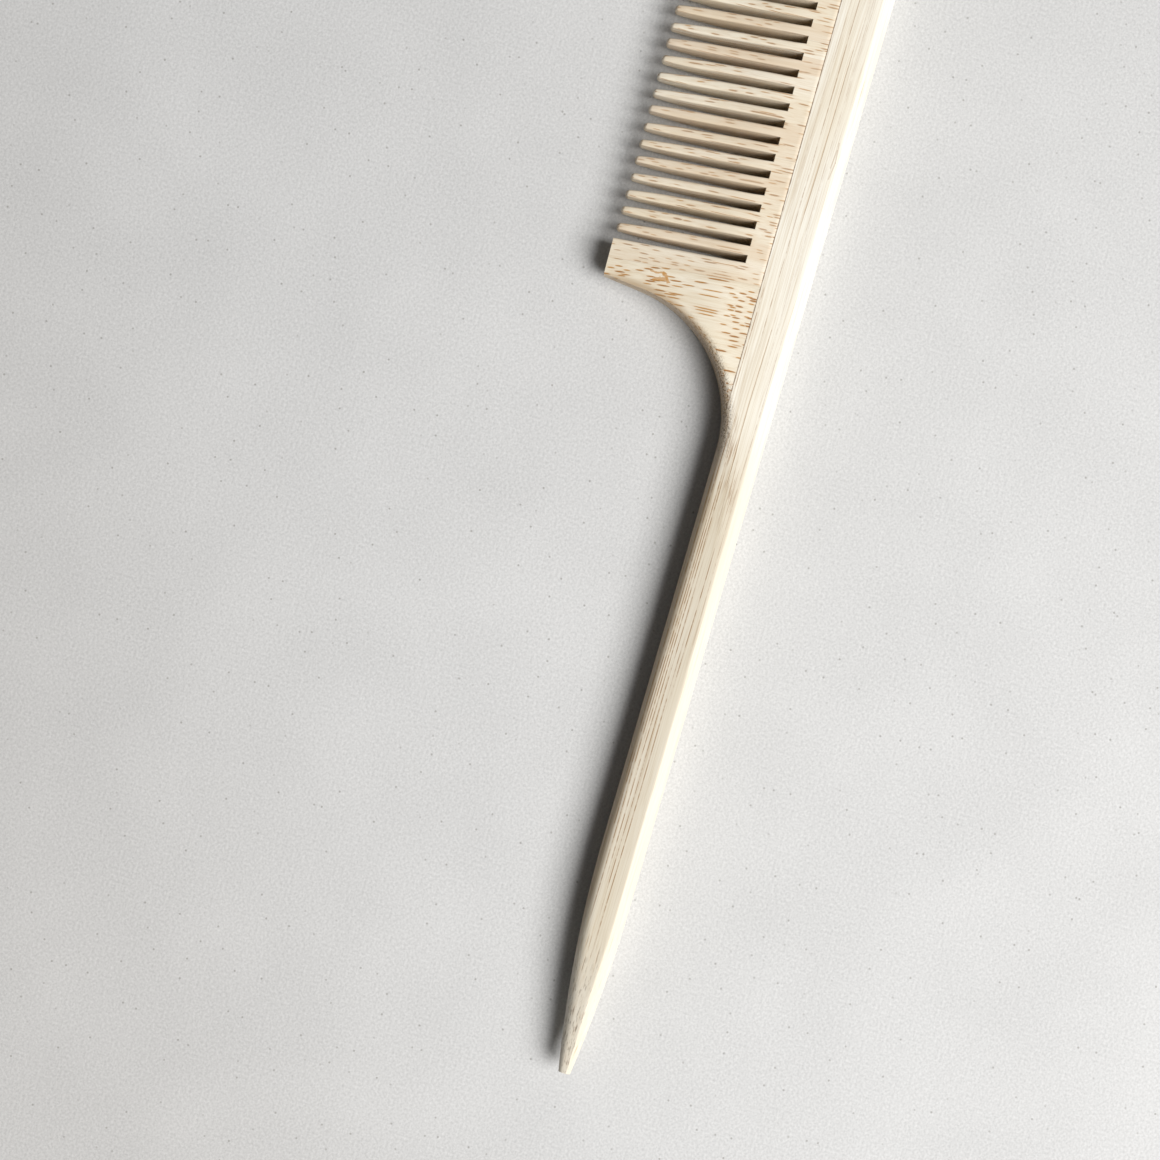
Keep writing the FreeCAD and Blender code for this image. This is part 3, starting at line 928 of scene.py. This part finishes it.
def bamboo(shading, across, along, depth, seed, look):
    """Colour, roughness and height of cut bamboo whose fibres run along one direction.

    The bundles are rods through the solid, so a face ground at a small angle to them shows short
    dashes, a face along them long lines, and a rounded edge across them dots.
    """
    across, depth = wandering(shading, across, along, depth, seed)
    place = (across, along, depth)
    distance, chance, tone = shading.cells(
        shading.times(across, 1 / look["bundle_spacing"]),
        shading.times(depth, 1 / look["bundle_layer"]),
    )
    ragged = shading.noise(place, RAGGED_SCALES)
    distance = shading.add(distance, shading.swing(ragged, RAGGEDNESS))
    width = shading.times_add(tone, look["bundle_spread"], look["bundle_size"])
    core = shading.step(distance, shading.times(width, CORE_START), width, 1.0, 0.0)
    sheath = shading.step(distance, width, shading.times(width, SHEATH_REACH), 1.0, 0.0)
    over_gap = shading.math("SUBTRACT", chance, look["bundle_gap"])
    present = shading.step(over_gap, *BUNDLE_CHANCE_RANGE)
    core = shading.times(core, present)
    sheath = shading.times(sheath, present)

    streak = shading.noise(place, STREAK_SCALES, 4.0, 0.6)
    fine = shading.noise(place, (FINE_SCALE, look["fine_length"], FINE_SCALE), 3.0, 0.6)
    broad = shading.noise(place, BROAD_SCALES, 1.0)
    streaks = shading.step(streak, *STREAK_RANGE, 0.0, look["streaks"])
    fine_lines = shading.step(fine, *FINE_RANGE, 0.0, look["fine_lines"])
    colour = shading.mix(shading.step(broad, *BROAD_RANGE), look["pale"], look["warm"])
    colour = shading.mix(streaks, colour, look["tan"])
    colour = shading.mix(fine_lines, colour, look["tan"])
    colour = shading.stain(colour, sheath, look["sheath"], look["golden"])
    dark = shading.mix(tone, look["golden"], look["brown"])
    colour = shading.stain(colour, core, look["core"], dark)
    height = shading.times_add(fine, FINE_HEIGHT, shading.times(streak, STREAK_HEIGHT))
    height = shading.times_add(core, CORE_HEIGHT, height)
    roughness = shading.times_add(fine, FINE_ROUGHNESS, ROUGHNESS)
    roughness = shading.times_add(core, CORE_ROUGHNESS, roughness)
    return colour, roughness, height


def finish_bamboo(shading, colour, roughness, height):
    bump_inputs = {"Height": height, "Strength": BUMP_STRENGTH, "Distance": BUMP_HEIGHT}
    sockets = {"Base Color": colour, "Roughness": roughness, "Specular IOR Level": SPECULAR}
    return shading.finish({**sockets, "Normal": shading.node("Bump", bump_inputs).outputs[0]})


def line_mask(shading, value, place, half_width, softness):
    """1 within half_width of place, and 0 from softness further out."""
    off = shading.math("ABSOLUTE", shading.math("SUBTRACT", value, place))
    return shading.step(off, half_width, shading.add(softness, half_width), 1.0, 0.0)


def glue_mask(shading, y, x):
    """The dark hairline of the long glue line, thicker in some places than in others."""
    slope = rise(GLUE_LINE_SLOPE)
    place = shading.times_add(x, slope, GLUE_LINE_Y - slope * REFERENCE_X)
    uneven = shading.noise((x, GLUE_SEED, 0.0), GLUE_SCALES, 3.0, 0.6)
    half_width = shading.step(uneven, *GLUE_RANGE, 0.0, GLUE_HALF_WIDTH)
    line = line_mask(shading, y, place, half_width, GLUE_SOFTNESS)
    return shading.times(line, shading.step(x, *GLUE_X))


def grain_line(shading, y, x, place, start, end):
    """A long dark line of the grain at one height across the stick, ragged, with faded ends."""
    sway = shading.noise((x, place, 1.0), GRAIN_SWAY_SCALES, 1.0)
    swayed = shading.times_add(sway, GRAIN_SWAY, shading.add(y, -GRAIN_SWAY / 2))
    line = line_mask(shading, swayed, place, GRAIN_LINE_HALF_WIDTH, GRAIN_LINE_SOFTNESS)
    ragged = shading.noise((x, place, 2.0), GRAIN_GAP_SCALES, 3.0, 0.7)
    line = shading.times(line, shading.step(ragged, *GRAIN_GAP_RANGE, GRAIN_GAP_STRENGTH, 1.0))
    ends = shading.window(x, start, start + GRAIN_LINE_FADE, end - GRAIN_LINE_FADE, end)
    return shading.times(line, ends)


def run_out_dashes(shading, x, y):
    """Short cut fibres along the line where the tail's sloping face meets the head's flat one."""
    past_x = shading.add(x, -RUN_OUT_X)
    squared = shading.math("POWER", shading.math("MAXIMUM", past_x, 0.0), 2.0)
    straight_y = shading.times_add(past_x, RUN_OUT_RISE, RUN_OUT_Y)
    meeting_y = shading.add(straight_y, shading.times(squared, RUN_OUT_CURVE))
    band = line_mask(shading, y, meeting_y, DASH_HALF_WIDTH, DASH_SOFTNESS)
    dashes = shading.noise((x, y, DASH_SEED), DASH_SCALES, 2.0, 0.6)
    band = shading.times(band, shading.step(dashes, *DASH_RANGE))
    return shading.times(band, shading.window(x, *DASH_X))


def stroke(shading, x, y, start, end, half_width):
    """A short straight mark between two points of the comb's face."""
    run = (end[0] - start[0], end[1] - start[1])
    length = math.hypot(*run)
    from_start = [shading.add(x, -start[0]), shading.add(y, -start[1])]
    share = shading.times(from_start[0], run[0] / length**2)
    share = shading.add(share, shading.times(from_start[1], run[1] / length**2))
    share = shading.math("MINIMUM", shading.math("MAXIMUM", share, 0.0), 1.0)
    off_x = shading.add(from_start[0], shading.times(share, -run[0]))
    off_y = shading.add(from_start[1], shading.times(share, -run[1]))
    squared = shading.add(shading.times(off_x, off_x), shading.times(off_y, off_y))
    return shading.step(shading.math("SQRT", squared), half_width, 2.2 * half_width, 1.0, 0.0)


def with_marks(shading, colour, place, marks, half_width, strength, ink):
    """The colour with strokes of ink on the comb's upper face."""
    x, y, z = place
    for start, end in marks:
        mark = stroke(shading, x, y, start, end, half_width)
        mark = shading.times(mark, shading.step(z, *MARKED_Z, 0.0, strength))
        colour = shading.mix(mark, colour, ink)
    return colour


def tooth_side_band(shading, x, y, reach):
    """1 on the tooth side of the tail and on the neck's arc, and 0 from reach further in."""
    squared = shading.math("POWER", shading.math("SUBTRACT", NECK_CENTRE_Y, y), 2.0)
    past_neck = shading.math("MAXIMUM", shading.add(x, -NECK_X), 0.0)
    squared = shading.add(squared, shading.math("POWER", past_neck, 2.0))
    distance = shading.add(shading.math("SQRT", squared), -NECK_RADIUS)
    return shading.step(distance, SIDE_BAND_FULL_SHARE * reach, reach, 1.0, 0.0)


def with_side_shade_and_end_grain(shading, colour, x, y, z):
    """Painted shade: browner tooth sides, which face away from the lamp, and the dark speckle of
    end grain where the neck's arc cuts the fibres.
    """
    # Painted shade: the tooth side and the neck's arc, away from the lamp, are painted browner
    colour = shading.stain(colour, tooth_side_band(shading, x, y, SIDE_SHADE_REACH), *PAINTED_SIDE_SHADE)
    speckle = shading.noise((x, y, z), PEPPER_SCALES, 2.0, 0.6)
    pepper = shading.step(speckle, *PEPPER_RANGE)
    pepper = shading.times(pepper, tooth_side_band(shading, x, y, PEPPER_REACH))
    pepper = shading.times(pepper, shading.window(x, *PEPPER_X))
    return shading.stain(colour, pepper, *PEPPER_STAIN)


def make_stick_material():
    shading = Shading("bamboo_along_the_comb")
    x, y, z = place_nodes(shading)
    look = dict(STICK_LOOK)
    outer = shading.step(y, *OUTER_Y)
    tip = shading.times(shading.step(x, *TIP_X, 1.0, 0.0), shading.step(y, *TIP_FACE_Y))
    handle = shading.step(x, *HANDLE_X, 1.0, 0.0)
    gap = shading.times_add(outer, look["outer_bundle_gap"], look["bundle_gap"])
    look["bundle_gap"] = shading.times_add(tip, look["tip_bundle_gap"], gap)
    look["core"] = shading.times_add(tip, look["tip_core"], look["core"])
    streaks = shading.times_add(outer, look["outer_streaks"], look["streaks"])
    handle_streaks = shading.times(shading.times(outer, handle), look["handle_streaks"])
    look["streaks"] = shading.add(streaks, handle_streaks)
    colour, roughness, height = bamboo(shading, y, x, z, 3.0, look)
    colour = shading.stain(colour, handle, *HANDLE_STAIN)
    for place, start, end, strength in GRAIN_LINES:
        line = grain_line(shading, y, x, place, start, end)
        colour = shading.stain(colour, line, strength, GRAIN_LINE_COLOUR)
    colour = shading.stain(colour, run_out_dashes(shading, x, y), *DASH_STAIN)
    colour = shading.stain(colour, tip, *TIP_STAIN)
    cut = shading.noise((x, y, z), CUT_SCALES, 2.0, 0.6)
    cut = shading.times(shading.step(cut, *CUT_RANGE), tip)
    colour = shading.stain(colour, cut, *CUT_STAIN)
    spine_marks = (SPINE_NODE_MARKS, SPINE_MARK_HALF_WIDTH, SPINE_MARK_STRENGTH)
    colour = with_marks(shading, colour, (x, y, z), *spine_marks, GRAIN_LINE_COLOUR)
    # Painted shade on the tooth side, and the end grain's speckle
    colour = with_side_shade_and_end_grain(shading, colour, x, y, z)
    # Painted highlight: paler along the bevelled back edge, which faces the lamp
    painted_highlight = shading.step(y, *PAINTED_HIGHLIGHT_Y, PAINTED_HIGHLIGHT_STRENGTH, 0.0)
    colour = shading.mix(painted_highlight, colour, PAINTED_HIGHLIGHT_COLOUR)
    colour = shading.stain(colour, glue_mask(shading, y, x), *GLUE_STAIN)
    return finish_bamboo(shading, colour, roughness, height)


def make_slat_material(name, seed, first_x, last_x, changes):
    """Bamboo across the comb, with a seam at first_x and at last_x where they aren't None."""
    shading = Shading(name)
    x, y, z = place_nodes(shading)
    lean = math.radians(SLANT)
    across = shading.add(shading.times(x, math.cos(lean)), shading.times(y, math.sin(lean)))
    along = shading.add(shading.times(y, math.cos(lean)), shading.times(x, -math.sin(lean)))
    look = {**SLAT_LOOK, **changes}
    depth = shading.times_add(along, -look["fibre_tilt"], z)
    colour, roughness, height = bamboo(shading, across, along, depth, seed, look)
    tooth = shading.math("FLOOR", shading.times_add(across, 1 / SLOT_PITCH, seed))
    tone = shading.node("TexWhiteNoise", {"W": tooth}, {"noise_dimensions": "1D"}).outputs[0]
    colour = shading.stain(colour, tone, look["tooth_tone"], TOOTH_TONE_COLOUR)
    bent_x = shading.add(x, shading.swing(shading.noise((x, y, seed)), NODE_MARK_BEND))
    bent_y = shading.add(y, shading.swing(shading.noise((y, x, seed)), NODE_MARK_BEND))
    marks = (look["marks"], NODE_MARK_HALF_WIDTH, NODE_MARK_STRENGTH, look["golden"])
    colour = with_marks(shading, colour, (bent_x, bent_y, z), *marks)
    # Painted shade on the neck's arc, and the end grain's speckle
    colour = with_side_shade_and_end_grain(shading, colour, x, y, z)
    glue = glue_mask(shading, y, x)
    for root_x in (first_x, last_x):
        if root_x is not None:
            offset = root_x * math.cos(lean) + root_line(root_x) * math.sin(lean)
            seam = line_mask(shading, across, offset, SEAM_HALF_WIDTH, SEAM_SOFTNESS)
            glue = shading.math("MAXIMUM", glue, shading.times(seam, SEAM_STRENGTH))
    colour = shading.stain(colour, glue, *GLUE_STAIN)
    return finish_bamboo(shading, colour, roughness, height)


def make_floor_material():
    shading = Shading("pale_surface")
    x, y, _ = place_nodes(shading)
    grain = shading.noise((x, y, 0.0), FLOOR_GRAIN_SCALES, 3.0, 0.7)
    cloud = shading.noise((x, y, FLOOR_CLOUD_SEED), FLOOR_CLOUD_SCALES)
    tone = shading.times_add(grain, FLOOR_GRAIN, FLOOR_TONE)
    tone = shading.times_add(cloud, FLOOR_CLOUD, shading.add(tone, -FLOOR_CLOUD / 2))
    # Painted shade: darker towards the picture's lower left, as if the lamp's light fell off there
    aside = shading.times_add(x, FLOOR_SHADE_ASIDE, y)
    shade = shading.step(aside, *FLOOR_SHADE_RANGE)
    base = shading.mix(shade, FLOOR_COLOUR, FLOOR_SHADE_COLOUR)
    colour = shading.mix(1.0, base, shading.vector(tone, tone, tone), "MULTIPLY")
    distance, chance, _ = shading.cells(*(shading.times(part, SPECK_SCALE) for part in (x, y)))
    chosen = shading.step(chance, *SPECK_CHANCE)
    speck = shading.times(shading.step(distance, *SPECK_SIZE, 1.0, 0.0), chosen)
    colour = shading.stain(colour, speck, *SPECK_STAIN)
    gloss = {"Roughness": FLOOR_ROUGHNESS, "Specular IOR Level": FLOOR_SPECULAR}
    return shading.finish({"Base Color": colour, **gloss})


# ---- The pieces ----

dice = random.Random(DICE_SEED)
add_piece(make_stick(), make_stick_material(), "spine_and_tail")
material = make_slat_material("bamboo_neck_guard", 1.0, None, GUARD_GLUE_LINE_X, NECK_GUARD_LOOK)
add_piece(make_neck_guard_slat(), material, "neck_guard_slat")
for number, (node, first_x, last_x) in enumerate(slat_limits()):
    end_x = None if last_x == LENGTH else last_x
    material = make_slat_material("bamboo_" + node, 2.0 + number, first_x, end_x, {})
    slat = make_toothed_slat(node + "_sawn", first_x, last_x, dice)
    add_piece(slat, material, node)


# ---- Surface, light and camera ----


def make_floor():
    bm = bmesh.new()
    bmesh.ops.create_grid(bm, x_segments=1, y_segments=1, size=FLOOR_HALF_SIZE)
    bmesh.ops.translate(bm, verts=bm.verts, vec=(0, 0, -FLOOR_GAP))
    floor = new_object("floor", bm)
    floor.data.materials.append(make_floor_material())


def aim(thing, place, target, up=(0, 0, 1)):
    """Puts a lamp or the camera into the scene at place, looking at target, with up upwards."""
    back = (Vector(place) - Vector(target)).normalized()
    side = Vector(up).cross(back).normalized()
    above = back.cross(side)
    turn = Matrix((side, above, back)).transposed()
    thing.matrix_world = Matrix.Translation(place) @ turn.to_4x4()
    bpy.context.scene.collection.objects.link(thing)


def make_window():
    """The one lamp: a wide soft one, right of the picture and towards its foot, at an angle up."""
    data = bpy.data.lights.new("window", "AREA")
    data.shape = "RECTANGLE"
    data.size, data.size_y = WINDOW_SIZE
    data.energy = WINDOW_POWER
    data.color = WINDOW_COLOUR
    height, turn = math.radians(WINDOW_HEIGHT_ANGLE), math.radians(WINDOW_TURN)
    sideways = image_right * math.cos(turn) + image_up * math.sin(turn)
    direction = sideways * math.cos(height) + Vector((0, 0, math.sin(height)))
    lamp = bpy.data.objects.new("window", data)
    aim(lamp, view_centre + WINDOW_DISTANCE * direction, view_centre)


view_angle = math.radians(VIEW_TURN)
image_up = Vector((math.cos(view_angle), math.sin(view_angle), 0))
image_right = Vector((math.sin(view_angle), -math.cos(view_angle), 0))
view_centre = to_row(VIEW_CENTRE_X, VIEW_CENTRE_Y, HALF)

camera_data = bpy.data.cameras.new("camera")
camera_data.sensor_width = 36
camera_data.lens = camera_data.sensor_width * CAMERA_HEIGHT / VIEW_WIDTH
camera_data.clip_start, camera_data.clip_end = CLIP_START, CLIP_END
camera = bpy.data.objects.new("camera", camera_data)
aim(camera, view_centre + Vector((0, 0, CAMERA_HEIGHT)), view_centre, up=image_up)
bpy.context.scene.camera = camera

make_floor()
make_window()

world = bpy.data.worlds.new("room")
bpy.context.scene.world = world
world.use_nodes = True
background = world.node_tree.nodes["Background"]
background.inputs["Color"].default_value = (*ROOM_COLOUR, 1)
background.inputs["Strength"].default_value = ROOM_STRENGTH
bpy.context.scene.view_settings.view_transform = "Standard"
